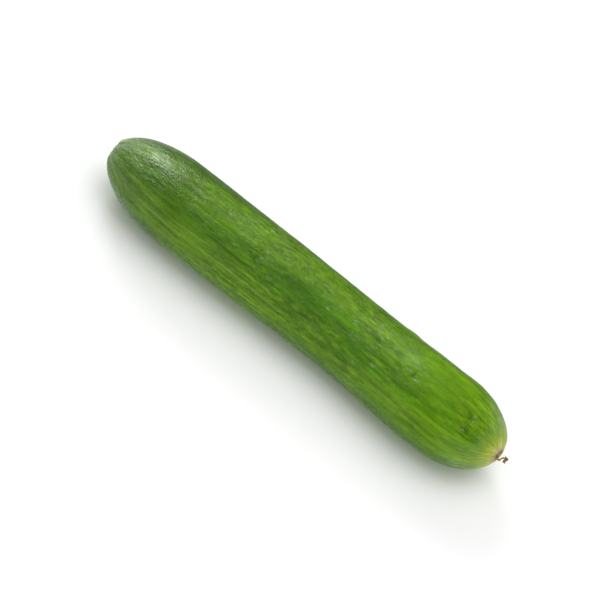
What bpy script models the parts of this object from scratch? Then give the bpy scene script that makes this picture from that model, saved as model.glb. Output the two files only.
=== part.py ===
"""A fresh mini cucumber, as picked, lying on its side.

The fruit grew in one piece and is one solid. Its stem end (towards -X) closes round the stub
of the stalk, and its blossom end (towards +X) still holds the dried style of the flower.
Units are metres, +Z up. The fruit rests on z = 0, with its length along X.
Angles round the fruit start at +Z and turn towards -Y.
"""

import math

import bmesh
import bpy

MM = 0.001

# Driving dimensions of the whole fruit. LENGTH is where the smooth outline would close: the
# rims of the hollows in its ends lie up to 1 mm inside it.
LENGTH = 163.3 * MM
SHOULDER_RADIUS = 14.6 * MM
BELLY_RADIUS = 14.8 * MM
WAIST_DROP = 0.7 * MM
WAIST_AT = 95.5 * MM
WAIST_SPREAD = 26.0 * MM
BELLY_START = 115.0 * MM
BELLY_FULL = 134.5 * MM
STEM_CAP = 29.0 * MM
BLOSSOM_CAP = 21.9 * MM
STEM_ROUNDING = 0.955
BLOSSOM_ROUNDING = 0.90

# Low corky cone that the flower sat on
CONE_HEIGHT = 0.6 * MM
CONE_RADIUS = 2.8 * MM

# Hollow at the stem end, which the stalk sits in, and the small one under the flower
STEM_WELL_DEPTH = 2.8 * MM
STEM_WELL_FLOOR = 2.7 * MM
STEM_WELL_RIM = 4.1 * MM
BLOSSOM_WELL_DEPTH = 1.6 * MM
BLOSSOM_WELL_FLOOR = 1.15 * MM
BLOSSOM_WELL_RIM = 2.1 * MM

# Relief of the skin, measured outwards from the smooth outline
RIBS = 10
RIB_HEIGHT = 0.09 * MM
RIB_UNEVENNESS = 0.5
RIB_STRONGEST = 50.0
RIB_STRAY = 0.45
RIB_SWAY = 0.30
RIB_SWAY_LENGTH = 31.0 * MM
LOBES = 3
LOBE_HEIGHT = 0.22 * MM
RELIEF_START = 5.0 * MM
RELIEF_FULL = 13.0 * MM
FLUTE_HEIGHT = 0.10 * MM
FLUTE_OFFSET = 34.0
FLUTE_START = 2.0 * MM
FLUTE_FULL = 3.5 * MM
FLUTE_REACH = 7.0 * MM
CREASE_START = 3.4 * MM
CREASE_FULL = 5.6 * MM
CREASE_REACH = 13.0 * MM

# Creases in the skin that run out from the stalk: angle, half width in degrees, depth in mm
CREASES = (
    (14, 9, 0.55),
    (52, 7, 0.40),
    (83, 10, 0.60),
    (126, 8, 0.45),
    (161, 9, 0.40),
    (203, 8, 0.55),
    (239, 10, 0.40),
    (284, 8, 0.60),
    (321, 9, 0.45),
)

# Broad swells of the body: x in mm, angle, height in mm, half length and half width in mm
SWELLS = (
    (30, 15, 0.20, 15, 10),
    (58, 70, -0.20, 14, 9),
    (74, 335, 0.18, 18, 9),
    (96, 88, 0.16, 15, 8),
    (108, 20, -0.16, 13, 9),
    (128, 330, 0.14, 14, 10),
    (131, 55, 0.10, 12, 8),
    (152, 350, -0.14, 9, 9),
    (44, 255, 0.18, 16, 9),
    (92, 265, -0.18, 17, 9),
)

# Dents and bumps of a fingertip's size or less, in the same units
DENTS = (
    (149.0, 22, -0.42, 1.9, 1.7),
    (149.4, 41, -0.35, 1.2, 1.1),
    (125.8, 25, -0.42, 1.5, 1.4),
    (135.3, 82, -0.35, 1.3, 1.2),
    (133.8, 130, 0.14, 1.9, 1.8),
    (116.7, 310, 0.28, 2.4, 2.0),
    (63.8, 25, -0.32, 1.7, 1.4),
    (84.0, 285, -0.35, 1.8, 1.6),
    (27.5, 215, -0.35, 1.9, 1.7),
    (138.0, 242, 0.30, 2.2, 1.9),
)

# Faint sideways bends of the middle line: x, reach along it and shift to the side, in mm
BENDS = (
    (0, 14, 0.7),
    (103, 36, 1.8),
    (125, 23, -1.0),
    (163, 19, 0.65),
)

# The blossom end faces a little to one side: slope of its face, the angle round the fruit
# that it faces, and how far from the stem end the turn starts
TIP_SLOPE = 0.28
TIP_FACES = 40.0
TIP_TURN_START = 152.0 * MM

# How far the round underside would pass below the surface that it lies on and is pressed flat
UNDERSIDE_DROP = 0.72 * MM

# Fineness of the fruit's mesh
RINGS = 88
SIDES = 60
OUTLINE_STEPS = 240
TIP_CROWDING = 1.6
TIP_CROWDING_RADIUS = 6.0 * MM

# Stub of the stalk
GAP = 0.3 * MM
STUB_RADIUS = 2.35 * MM
STUB_WAIST = 0.10
STUB_CORNERS = 5
STUB_CORNER_HEIGHT = 0.05
STUB_END = 1.35 * MM
STUB_DISH = 0.4 * MM
STUB_SIDES = 40

# Dried flower
STYLE_SIDES = 10
STYLE_STEPS = 40
FLAKE_THICKNESS = 0.62 * MM
FLAKE_CROWN = 0.72
FLAKE_CURL = 0.16
FLAKE_OUT = 1.1

# Middle line of the style in mm: beyond the tip, down, out of the side the tip faces, and radius
STYLE_ROUTE = (
    (-1.10, 0.15, 0.00, 0.66),
    (-0.78, 0.38, 0.12, 0.56),
    (-0.35, 0.85, 0.38, 0.40),
    (0.10, 1.25, 0.78, 0.31),
    (0.48, 1.32, 1.25, 0.28),
    (0.76, 0.98, 1.58, 0.27),
    (0.92, 0.45, 1.60, 0.26),
    (1.08, 0.00, 1.45, 0.25),
    (1.36, -0.24, 1.28, 0.25),
    (1.70, -0.22, 1.15, 0.26),
    (2.05, -0.08, 1.10, 0.26),
)

# Outline of the stigma flake at its end, in mm: beyond the tip, and down
FLAKE_OUTLINE = (
    (1.40, -1.20),
    (1.90, -1.00),
    (2.72, -1.02),
    (2.86, -0.35),
    (2.68, 0.40),
    (2.84, 1.08),
    (2.36, 1.02),
    (1.86, 1.00),
    (1.70, 0.40),
    (1.78, -0.15),
    (1.62, -0.60),
)


def ease(t):
    """A step from 0 to 1 with level ends."""
    t = min(max(t, 0.0), 1.0)
    return t * t * (3.0 - 2.0 * t)


def bell(t):
    """A smooth bump of height 1 round t = 0."""
    return math.exp(-t * t)


def turned(degrees):
    """An angle in degrees as the nearest turn, between -180 and 180."""
    return (degrees + 180.0) % 360.0 - 180.0


def barrel_radius(x):
    """Radius of the smooth barrel at x from the stem end, before its ends close."""
    waist = WAIST_DROP * bell((x - WAIST_AT) / WAIST_SPREAD)
    belly = ease((x - BELLY_START) / (BELLY_FULL - BELLY_START))
    return SHOULDER_RADIUS - waist + (BELLY_RADIUS - SHOULDER_RADIUS) * belly


def outline(t):
    """Point (x, r) of the smooth side outline. t is 0 to 1 on the stem cap, 1 to 2 on the
    barrel and 2 to 3 on the blossom cap; the caps start and end in their wells."""
    if t < 1.0:
        angle = t * math.pi / 2.0
        x = STEM_CAP * (1.0 - math.cos(angle))
        r = barrel_radius(x) * math.sin(angle) ** STEM_ROUNDING
        well = 1.0 - ease((r - STEM_WELL_FLOOR) / (STEM_WELL_RIM - STEM_WELL_FLOOR))
        return x + STEM_WELL_DEPTH * well, r
    if t < 2.0:
        x = STEM_CAP + (t - 1.0) * (LENGTH - STEM_CAP - BLOSSOM_CAP - CONE_HEIGHT)
        return x, barrel_radius(x)
    angle = max(3.0 - t, 0.0) * math.pi / 2.0
    x = LENGTH - CONE_HEIGHT - BLOSSOM_CAP * (1.0 - math.cos(angle))
    r = barrel_radius(x) * math.sin(angle) ** BLOSSOM_ROUNDING
    cone = CONE_HEIGHT * bell(r / CONE_RADIUS)
    well = 1.0 - ease((r - BLOSSOM_WELL_FLOOR) / (BLOSSOM_WELL_RIM - BLOSSOM_WELL_FLOOR))
    return x + cone - BLOSSOM_WELL_DEPTH * well, r


def stations():
    """The outline's points (x, r, normal x, normal r) at even steps, closer where r is small."""
    points = [outline(3.0 * i / OUTLINE_STEPS) for i in range(OUTLINE_STEPS + 1)]
    reach = [0.0]
    for (xa, ra), (xb, rb) in zip(points, points[1:]):
        crowding = 1.0 + TIP_CROWDING * bell((ra + rb) / 2.0 / TIP_CROWDING_RADIUS)
        reach.append(reach[-1] + math.hypot(xb - xa, rb - ra) * crowding)
    rows = []
    at = 0
    for ring in range(1, RINGS + 1):
        goal = reach[-1] * ring / (RINGS + 1)
        while reach[at + 1] < goal:
            at += 1
        t = 3.0 * (at + (goal - reach[at]) / (reach[at + 1] - reach[at])) / OUTLINE_STEPS
        step = 1.5 / OUTLINE_STEPS
        x, r = outline(t)
        xa, ra = outline(max(t - step, 0.0))
        xb, rb = outline(min(t + step, 3.0))
        length = math.hypot(xb - xa, rb - ra)
        rows.append((x, r, (ra - rb) / length, (xb - xa) / length))
    return rows


def spot(x, r, degrees, mark):
    """Height of one mark of the skin at a point of it."""
    mark_x, mark_degrees, height, half_length, half_width = mark
    across = r * math.radians(turned(degrees - mark_degrees)) / (half_width * MM)
    return height * MM * bell((x - mark_x * MM) / (half_length * MM)) * bell(across)


def relief(x, r, degrees):
    """Height of the skin above the smooth outline: lobes, ribs, creases, swells and dents."""
    angle = math.radians(degrees)
    full = ease((r - RELIEF_START) / (RELIEF_FULL - RELIEF_START))
    sway = RIB_SWAY * math.sin(2.0 * angle) * math.sin(x / RIB_SWAY_LENGTH)
    rib = -math.cos(RIBS * angle + RIB_STRAY * math.sin(LOBES * angle) + sway)
    strength = 1.0 + RIB_UNEVENNESS * math.cos(2.0 * (angle - math.radians(RIB_STRONGEST)))
    height = full * LOBE_HEIGHT * math.cos(LOBES * angle)
    height += full * RIB_HEIGHT * rib * strength
    if x < LENGTH / 2.0:
        outside = ease((r - CREASE_START) / (CREASE_FULL - CREASE_START)) * bell(r / CREASE_REACH)
        for at, half_width, depth in CREASES:
            height -= depth * MM * outside * bell(turned(degrees - at) / half_width)
    else:
        outside = ease((r - FLUTE_START) / (FLUTE_FULL - FLUTE_START)) * bell(r / FLUTE_REACH)
        height += FLUTE_HEIGHT * outside * math.cos(RIBS * angle + math.radians(FLUTE_OFFSET))
    for mark in SWELLS + DENTS:
        height += full * spot(x, r, degrees, mark)
    return height


def bend(x):
    """Sideways place of the fruit's middle line."""
    return sum(shift * MM * bell((x - at * MM) / (reach * MM)) for at, reach, shift in BENDS)


def middle_height(x):
    """Height of the fruit's middle line, which keeps its underside level."""
    return barrel_radius(min(max(x, STEM_CAP), LENGTH - CONE_HEIGHT - BLOSSOM_CAP)) - UNDERSIDE_DROP


def skin_point(row, degrees):
    """A point of the skin, pressed flat where it would pass below the surface it lies on."""
    x, r, normal_x, normal_r = row
    height = relief(x, r, degrees)
    out = r + normal_r * height
    angle = math.radians(degrees)
    y = bend(x) - out * math.sin(angle)
    z = middle_height(x) + out * math.cos(angle)
    turn = ease((x - TIP_TURN_START) / (LENGTH - TIP_TURN_START))
    back = TIP_SLOPE * turn * r * math.cos(angle - math.radians(TIP_FACES))
    return (x + normal_x * height - back, y, max(z, 0.0))


def tube_faces(rings, sides):
    """Faces of a run of rings, each of so many points, closed by a last point at each end."""
    faces = []
    for ring in range(rings - 1):
        for side in range(sides):
            here = ring * sides
            beside = (side + 1) % sides
            faces.append((here + side, here + beside, here + sides + beside, here + sides + side))
    first_end = rings * sides
    last = (rings - 1) * sides
    for side in range(sides):
        beside = (side + 1) % sides
        faces.append((first_end, beside, side))
        faces.append((first_end + 1, last + side, last + beside))
    return faces


def fruit_shape():
    """Points and faces of the fruit."""
    points = []
    for row in stations():
        for side in range(SIDES):
            points.append(skin_point(row, 360.0 * side / SIDES))
    for t in (0.0, 3.0):
        x, r = outline(t)
        points.append((x, bend(x), middle_height(x)))
    return points, tube_faces(RINGS, SIDES)


def stub_shape():
    """Points and faces of the stalk's stub: five soft corners, a waist and a dished cut end."""
    root = outline(0.0)[0] - GAP
    length = root - STUB_END
    # Place along the stub, and the radius there as a share of the stub's radius
    rows = (
        (root, 0.55),
        (root, 0.92),
        (root - 0.12 * length, 1.0),
        (root - 0.50 * length, 1.0 - STUB_WAIST),
        (STUB_END + 0.26 * length, 0.97),
        (STUB_END + 0.10 * length, 1.03),
        (STUB_END, 0.93),
        (STUB_END + 0.3 * STUB_DISH, 0.62),
        (STUB_END + 0.8 * STUB_DISH, 0.30),
    )
    points = []
    for x, share in reversed(rows):
        for side in range(STUB_SIDES):
            angle = 2.0 * math.pi * side / STUB_SIDES
            corner = 1.0 + STUB_CORNER_HEIGHT * math.cos(STUB_CORNERS * angle)
            r = STUB_RADIUS * share * corner
            y = bend(x) - r * math.sin(angle)
            points.append((x, y, middle_height(x) + r * math.cos(angle)))
    for x in (STUB_END + STUB_DISH, root):
        points.append((x, bend(x), middle_height(x)))
    return points, tube_faces(len(rows), STUB_SIDES)


def flower_point(beyond, down, out):
    """A point of the dried flower, from distances in mm beyond the tip, down and outwards."""
    angle = math.radians(TIP_FACES)
    y = bend(LENGTH) + (-down * math.cos(angle) - out * math.sin(angle)) * MM
    z = middle_height(LENGTH) + (-down * math.sin(angle) + out * math.cos(angle)) * MM
    return (LENGTH + beyond * MM, y, z)


def along(route, t):
    """A smooth curve through the route's points; t runs from 0 to the last point's number."""
    at = min(int(t), len(route) - 2)
    part = t - at
    before = route[max(at - 1, 0)]
    after = route[min(at + 2, len(route) - 1)]
    values = []
    for a, b, c, d in zip(before, route[at], route[at + 1], after):
        curve = 2.0 * b + (c - a) * part + (2.0 * a - 5.0 * b + 4.0 * c - d) * part**2
        values.append(0.5 * (curve + (3.0 * b - a - 3.0 * c + d) * part**3))
    return values


def unit(v):
    size = math.sqrt(sum(c * c for c in v))
    return [c / size for c in v]


def cross(a, b):
    return [a[1] * b[2] - a[2] * b[1], a[2] * b[0] - a[0] * b[2], a[0] * b[1] - a[1] * b[0]]


def style_shape():
    """Points and faces of the curled style, a tube round its route."""
    last = len(STYLE_ROUTE) - 1
    rows = [along(STYLE_ROUTE, last * i / (STYLE_STEPS - 1)) for i in range(STYLE_STEPS)]
    points = []
    side_way = [0.0, 1.0, 0.0]
    for i, row in enumerate(rows):
        ahead = rows[min(i + 1, STYLE_STEPS - 1)]
        behind = rows[max(i - 1, 0)]
        forward = unit([a - b for a, b in zip(ahead[:3], behind[:3])])
        up_way = unit(cross(forward, side_way))
        side_way = cross(up_way, forward)
        for side in range(STYLE_SIDES):
            angle = 2.0 * math.pi * side / STYLE_SIDES
            c = row[3] * math.cos(angle)
            s = row[3] * math.sin(angle)
            place = [row[k] + c * side_way[k] + s * up_way[k] for k in range(3)]
            points.append(flower_point(*place))
    for row in (rows[0], rows[-1]):
        points.append(flower_point(*row[:3]))
    return points, tube_faces(STYLE_STEPS, STYLE_SIDES)


def flake_shape():
    """Points and faces of the stigma: a thin curled flake with rounded edges."""
    count = len(FLAKE_OUTLINE)
    centre_beyond = sum(p[0] for p in FLAKE_OUTLINE) / count
    centre_down = sum(p[1] for p in FLAKE_OUTLINE) / count
    half = FLAKE_THICKNESS / MM / 2.0
    layers = ((FLAKE_CROWN, -half), (1.0, -0.35 * half), (1.0, 0.35 * half), (FLAKE_CROWN, half))
    points = []
    for size, level in layers:
        for beyond, down in FLAKE_OUTLINE:
            b = centre_beyond + (beyond - centre_beyond) * size
            d = centre_down + (down - centre_down) * size
            curl = FLAKE_CURL * (d - centre_down) ** 2
            points.append(flower_point(b, d, FLAKE_OUT + level + curl))
    for level in (-half, half):
        points.append(flower_point(centre_beyond, centre_down, FLAKE_OUT + level))
    return points, tube_faces(len(layers), count)


def colour(code):
    """An sRGB hex colour as linear values, with full alpha."""
    values = []
    for start in (0, 2, 4):
        v = int(code[start : start + 2], 16) / 255.0
        values.append(v / 12.92 if v <= 0.04045 else ((v + 0.055) / 1.055) ** 2.4)
    return (*values, 1.0)


def material(name, code, roughness):
    """A plain dielectric finish."""
    finish = bpy.data.materials.new(name)
    finish.use_nodes = True
    shader = finish.node_tree.nodes["Principled BSDF"]
    shader.inputs["Base Color"].default_value = colour(code)
    shader.inputs["Roughness"].default_value = roughness
    shader.inputs["Metallic"].default_value = 0.0
    finish.diffuse_color = colour(code)
    return finish


def solid(name, shape, finish, parent):
    """An object from points and faces, with its normals turned outwards."""
    points, faces = shape
    mesh = bpy.data.meshes.new(name)
    mesh.from_pydata(points, [], faces)
    work = bmesh.new()
    work.from_mesh(mesh)
    bmesh.ops.recalc_face_normals(work, faces=work.faces)
    work.to_mesh(mesh)
    work.free()
    mesh.shade_smooth()
    mesh.set_sharp_from_angle(angle=math.radians(50.0))
    mesh.materials.append(finish)
    piece = bpy.data.objects.new(name, mesh)
    bpy.context.scene.collection.objects.link(piece)
    piece.parent = parent
    return piece


def grow_together(base, addition):
    """Joins the addition into the base as one body."""
    union = base.modifiers.new("grown together", "BOOLEAN")
    union.operation = "UNION"
    union.solver = "EXACT"
    union.object = addition
    addition.hide_render = True
    addition.display_type = "WIRE"


def centre_of(shapes):
    """Middle of everything in X and Y, so that the origin lies under it."""
    points = [p for shape in shapes for p in shape[0]]
    middle = [(min(p[k] for p in points) + max(p[k] for p in points)) / 2.0 for k in range(2)]
    return middle


def main():
    for old in list(bpy.data.objects):
        bpy.data.objects.remove(old)
    fruit = fruit_shape()
    stub = stub_shape()
    style = style_shape()
    flake = flake_shape()
    middle_x, middle_y = centre_of((fruit, stub, style, flake))

    cucumber = bpy.data.objects.new("cucumber", None)
    cucumber.location = (-middle_x, -middle_y, 0.0)
    bpy.context.scene.collection.objects.link(cucumber)

    dried = material("dried flower", "7b5837", 0.85)
    solid("fruit", fruit, material("waxy green skin", "4e741a", 0.42), cucumber)
    solid("stalk_stub", stub, material("pale cut stalk", "9aab6c", 0.6), cucumber)
    remnant = solid("blossom_remnant", style, dried, cucumber)
    grow_together(remnant, solid("stigma_flake", flake, dried, cucumber))


main()
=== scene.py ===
import itertools
import math

import bpy
import numpy as np
from mathutils import Matrix, Vector


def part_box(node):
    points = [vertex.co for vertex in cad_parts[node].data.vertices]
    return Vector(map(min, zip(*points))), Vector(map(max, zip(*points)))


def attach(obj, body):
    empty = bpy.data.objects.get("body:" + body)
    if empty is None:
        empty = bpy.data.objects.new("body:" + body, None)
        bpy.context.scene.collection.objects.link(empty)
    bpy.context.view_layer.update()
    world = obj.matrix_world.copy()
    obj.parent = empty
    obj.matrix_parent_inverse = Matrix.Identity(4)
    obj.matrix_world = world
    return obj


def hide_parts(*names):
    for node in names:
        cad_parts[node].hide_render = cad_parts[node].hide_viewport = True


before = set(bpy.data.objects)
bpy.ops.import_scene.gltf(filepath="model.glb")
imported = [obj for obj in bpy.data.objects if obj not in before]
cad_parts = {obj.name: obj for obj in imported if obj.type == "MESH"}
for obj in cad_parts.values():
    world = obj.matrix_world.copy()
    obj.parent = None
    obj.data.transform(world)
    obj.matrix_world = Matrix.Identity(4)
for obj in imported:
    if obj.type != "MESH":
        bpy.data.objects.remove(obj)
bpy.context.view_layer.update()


# The fruit: one swollen berry of crisp wet flesh in a thin green skin, grown in one piece.
# Its barrel is faintly ribbed over the bundles of veins. It closes at the stem end round a
# puckered hollow, and at the blossom end in a low corky cone with a small pit.

# Lengths are in millimetres, and angles in degrees from the top towards the front
MM = 0.001
LENGTH = 163.3
SHOULDER_RADIUS = 14.6
BELLY_RADIUS = 14.8
WAIST_DROP = 0.7
WAIST_AT = 95.5
WAIST_SPREAD = 26.0
BELLY_START = 115.0
BELLY_FULL = 134.5
STEM_CAP = 29.0
BLOSSOM_CAP = 21.9
STEM_ROUNDING = 0.955
BLOSSOM_ROUNDING = 0.90
CONE_HEIGHT = 0.6
CONE_RADIUS = 2.8
STEM_WELL = {"depth": 2.8, "floor": 2.7, "rim": 4.1}
BLOSSOM_WELL = {"depth": 1.6, "floor": 1.15, "rim": 2.1}
TIP_SLOPE = 0.28
TIP_FACES = 40.0
TIP_TURN_START = 152.0
UNDERSIDE_DROP = 0.72
LOBES_ROUND = 3.0
LOBE_HEIGHT = 0.22
RIBS_ROUND = 10.0
RIB_HEIGHT = 0.09
FLUTE_HEIGHT = 0.10
CRACK_DEPTH = 0.22

# Faint sideways bends of the middle line: distance along, reach along it and shift
BENDS = ((0, 14, 0.7), (103, 36, 1.8), (125, 23, -1.0), (163, 19, 0.65))

# Creases round the stalk: angle, half width in degrees and depth
CREASES = (
    (14, 9, 0.55),
    (52, 7, 0.40),
    (83, 10, 0.60),
    (126, 8, 0.45),
    (161, 9, 0.40),
    (203, 8, 0.55),
    (239, 10, 0.40),
    (284, 8, 0.60),
    (321, 9, 0.45),
)

# Broad swells: distance along, angle, height, half length and half width
SWELLS = (
    (30, 15, 0.20, 15, 10),
    (58, 70, -0.20, 14, 9),
    (74, 335, 0.18, 18, 9),
    (96, 88, 0.16, 15, 8),
    (108, 20, -0.16, 13, 9),
    (128, 330, 0.14, 14, 10),
    (131, 55, 0.10, 12, 8),
    (152, 350, -0.14, 9, 9),
    (44, 255, 0.18, 16, 9),
    (92, 265, -0.18, 17, 9),
)

# Dents and bumps a few millimetres wide, in the same units
DENTS = (
    (149.0, 22, -0.42, 1.9, 1.7),
    (149.4, 41, -0.35, 1.2, 1.1),
    (125.8, 25, -0.42, 1.5, 1.4),
    (135.3, 82, -0.35, 1.3, 1.2),
    (133.8, 130, 0.14, 1.9, 1.8),
    (116.7, 310, 0.28, 2.4, 2.0),
    (63.8, 25, -0.32, 1.7, 1.4),
    (84.0, 285, -0.35, 1.8, 1.6),
    (27.5, 215, -0.35, 1.9, 1.7),
    (138.0, 242, 0.30, 2.2, 1.9),
)


def ease(t):
    """A step from 0 to 1 with level ends."""
    t = np.clip(t, 0.0, 1.0)
    return t * t * (3.0 - 2.0 * t)


def bell(t):
    """A smooth bump of height 1 round t = 0."""
    return np.exp(-t * t)


def apart(degrees, others):
    """The turn from one angle to another, between -180 and 180 degrees."""
    return (degrees - others + 180.0) % 360.0 - 180.0


def barrel_radius(x):
    """Radius of the smooth barrel, before its ends close."""
    waist = WAIST_DROP * bell((x - WAIST_AT) / WAIST_SPREAD)
    belly = ease((x - BELLY_START) / (BELLY_FULL - BELLY_START))
    return SHOULDER_RADIUS - waist + (BELLY_RADIUS - SHOULDER_RADIUS) * belly


def well_depth(r, well):
    """Depth of a round hollow at a distance r from its middle."""
    return well["depth"] * (1.0 - ease((r - well["floor"]) / (well["rim"] - well["floor"])))


def outline(t):
    """The smooth side outline (x, r): t runs over the stem cap, the barrel and the blossom cap."""
    stem_angle = np.clip(t, 0.0, 1.0) * np.pi / 2.0
    blossom_angle = np.clip(3.0 - t, 0.0, 1.0) * np.pi / 2.0
    barrel = LENGTH - STEM_CAP - BLOSSOM_CAP - CONE_HEIGHT
    x = STEM_CAP * (1.0 - np.cos(stem_angle)) + barrel * np.clip(t - 1.0, 0.0, 1.0)
    x = x + BLOSSOM_CAP * np.cos(blossom_angle)
    closing = np.sin(stem_angle) ** STEM_ROUNDING * np.sin(blossom_angle) ** BLOSSOM_ROUNDING
    r = barrel_radius(x) * closing
    stem_end = well_depth(r, STEM_WELL)
    blossom_end = CONE_HEIGHT * bell(r / CONE_RADIUS) - well_depth(r, BLOSSOM_WELL)
    return x + np.where(t < 1.5, stem_end, blossom_end), r


def grain(place, seed):
    """Smooth noise from -1 to 1 at each place, with one knot a unit."""
    knots = 64
    lattice = np.random.default_rng(seed).uniform(-1.0, 1.0, (knots,) * 3)
    cell = np.floor(place).astype(int)
    part = place - cell
    part = part * part * (3.0 - 2.0 * part)
    total = np.zeros(place.shape[:-1])
    for corner in itertools.product((0, 1), repeat=3):
        share = np.prod(np.where(np.array(corner) == 1, part, 1.0 - part), axis=-1)
        at = (cell + np.array(corner)) % knots
        total += share * lattice[at[..., 0], at[..., 1], at[..., 2]]
    return total


def bend(x):
    """Sideways place of the middle line."""
    return sum(shift * bell((x - at) / reach) for at, reach, shift in BENDS)


def middle_height(x):
    """Height of the middle line, which keeps the underside level."""
    barrel_end = LENGTH - CONE_HEIGHT - BLOSSOM_CAP
    return barrel_radius(np.clip(x, STEM_CAP, barrel_end)) - UNDERSIDE_DROP


def grown_relief(x, r, degrees):
    """The form that the fruit grew into: lobes, ribs, creases, swells and dents."""
    angle = np.radians(degrees)
    full = ease((r - 5.0) / 8.0)
    sway = 0.30 * np.sin(2.0 * angle) * np.sin(x / 31.0)
    rib = -np.cos(RIBS_ROUND * angle + 0.45 * np.sin(3.0 * angle) + sway)
    uneven = 1.0 + 0.5 * np.cos(2.0 * (angle - math.radians(50.0)))
    height = full * LOBE_HEIGHT * np.cos(LOBES_ROUND * angle)
    height = height + full * RIB_HEIGHT * rib * uneven
    stem_side = x < LENGTH / 2.0
    pucker = ease((r - 3.4) / 2.2) * bell(r / 13.0) * stem_side
    for at, half_width, depth in CREASES:
        height = height - depth * pucker * bell(apart(degrees, at) / half_width)
    flutes = ease((r - 2.0) / 1.5) * bell(r / 7.0) * (~stem_side)
    height = height + FLUTE_HEIGHT * flutes * np.cos(RIBS_ROUND * angle + math.radians(34.0))
    for mark_x, mark_angle, mark_height, half_length, half_width in SWELLS + DENTS:
        across = r * np.radians(apart(degrees, mark_angle)) / half_width
        height = height + full * mark_height * bell((x - mark_x) / half_length) * bell(across)
    return height


def skin_relief(skin, r, degrees):
    """The fine relief that only shows close up, from the ripples down to the pimples."""
    full = ease((r - 2.4) / 3.0)
    # Each ripple has a height, and a length and a width of its patches
    swash = grain(skin / (11.0, 5.0, 5.0), 3)
    height = 0.060 * swash
    height = height + 0.075 * grain(skin / (12.0, 2.2, 2.2) + 0.8 * swash[..., None], 4)
    height = height + 0.055 * grain(skin / (3.4, 1.7, 1.7) + 0.5 * swash[..., None], 5)
    height = height + 0.030 * grain(skin / (1.5, 0.9, 0.9), 6)
    cracks = np.abs(grain(np.stack((skin[..., 0] / 9.0, degrees / 11.0, r * 0.0), -1) + 7.0, 8))
    cork = bell((r - 3.0) / 1.3) * (skin[..., 0] > 100.0)
    return height * full - CRACK_DEPTH * cork * (1.0 - ease(cracks / 0.22))


# Rings crowd towards both ends, where the small forms are. The patterns of the skin are laid
# out on a straight tube with the radius GIRTH, so they close in at both ends.
RINGS = 360
SIDES = 272
GIRTH = 14.5
dense = np.linspace(0.0, 3.0, 6001)
dense_x, dense_r = outline(dense)
steps = np.hypot(np.diff(dense_x), np.diff(dense_r))
crowding = 1.0 + 1.6 * bell((dense_r[1:] + dense_r[:-1]) / 2.0 / 6.0)
crowded_way = np.concatenate(([0.0], np.cumsum(steps * crowding)))
way = np.concatenate(([0.0], np.cumsum(steps)))
ring_t = np.interp(np.arange(1, RINGS + 1) / (RINGS + 1) * crowded_way[-1], crowded_way, dense)
ring_x, ring_r = outline(ring_t)
before_x, before_r = outline(ring_t - 0.002)
after_x, after_r = outline(ring_t + 0.002)
slope = np.hypot(after_x - before_x, after_r - before_r)
normal_x = ((before_r - after_r) / slope)[:, None]
normal_r = ((after_x - before_x) / slope)[:, None]

# Every point is raised square to the outline, and the tip is turned a little up and forwards
x = ring_x[:, None]
r = ring_r[:, None]
along_skin = np.interp(ring_t, dense, way)[:, None]
degrees = np.arange(SIDES)[None, :] * 360.0 / SIDES
angle = np.radians(degrees)
skin_place = np.stack(
    np.broadcast_arrays(along_skin, GIRTH * np.cos(angle), GIRTH * np.sin(angle)), axis=-1
)
height = grown_relief(x, r, degrees) + skin_relief(skin_place, r + 0.0 * angle, degrees + 0.0 * x)
out = r + normal_r * height
tip_turn = ease((x - TIP_TURN_START) / (LENGTH - TIP_TURN_START))
tip_back = TIP_SLOPE * tip_turn * r * np.cos(angle - math.radians(TIP_FACES))
points = np.stack(
    (
        x + normal_x * height - tip_back,
        bend(x) - out * np.sin(angle),
        np.maximum(middle_height(x) + out * np.cos(angle), 0.0),
    ),
    axis=-1,
).reshape(-1, 3)
pole_x, pole_r = outline(np.array([0.0, 3.0]))
poles = np.stack((pole_x, bend(pole_x), middle_height(pole_x)), axis=-1)
points = np.concatenate((points, poles))

# The origin lies under the middle of the whole box, so the fruit is placed by the frame's boxes
STUB_END = 1.35
fruit_low, fruit_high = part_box("fruit")
origin_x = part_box("stalk_stub")[0][0] / MM - STUB_END
origin_y = (fruit_low[1] + fruit_high[1]) / 2.0 / MM - (points[:, 1].min() + points[:, 1].max()) / 2.0
ORIGIN = np.array((origin_x, origin_y, 0.0))


def tube_faces(rings, sides):
    """Faces of a run of rings, closed by a last point at each end."""
    faces = []
    for ring in range(rings - 1):
        for side in range(sides):
            here = ring * sides
            beside = (side + 1) % sides
            faces.append((here + side, here + beside, here + sides + beside, here + sides + side))
    last = (rings - 1) * sides
    for side in range(sides):
        beside = (side + 1) % sides
        faces.append((rings * sides, beside, side))
        faces.append((rings * sides + 1, last + side, last + beside))
    return faces


def piece_from(name, places, faces):
    """A smooth mesh object from places in millimetres in the fruit's own frame."""
    mesh = bpy.data.meshes.new(name)
    placed = (np.asarray(places) + ORIGIN) * MM
    mesh.from_pydata(placed.tolist(), [], faces)
    mesh.shade_smooth()
    made = bpy.data.objects.new(name, mesh)
    bpy.context.scene.collection.objects.link(made)
    return made


def keep(piece, name, values):
    """Stores one vector a point, for the materials to read."""
    layer = piece.data.attributes.new(name, "FLOAT_VECTOR", "POINT")
    layer.data.foreach_set("vector", np.asarray(values, dtype=np.float32).ravel())


fruit = piece_from("fruit_in_its_skin", points, tube_faces(RINGS, SIDES))
skin_at_poles = ((0.0, GIRTH, 0.0), (way[-1], GIRTH, 0.0))
keep(fruit, "skin", np.concatenate((skin_place.reshape(-1, 3), skin_at_poles)))
place_on_fruit = np.stack(np.broadcast_arrays(x, r, degrees), axis=-1).reshape(-1, 3)
place_on_fruit = np.concatenate((place_on_fruit, np.stack((pole_x, pole_r, 0.0 * pole_x), -1)))
keep(fruit, "place", place_on_fruit)

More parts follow.
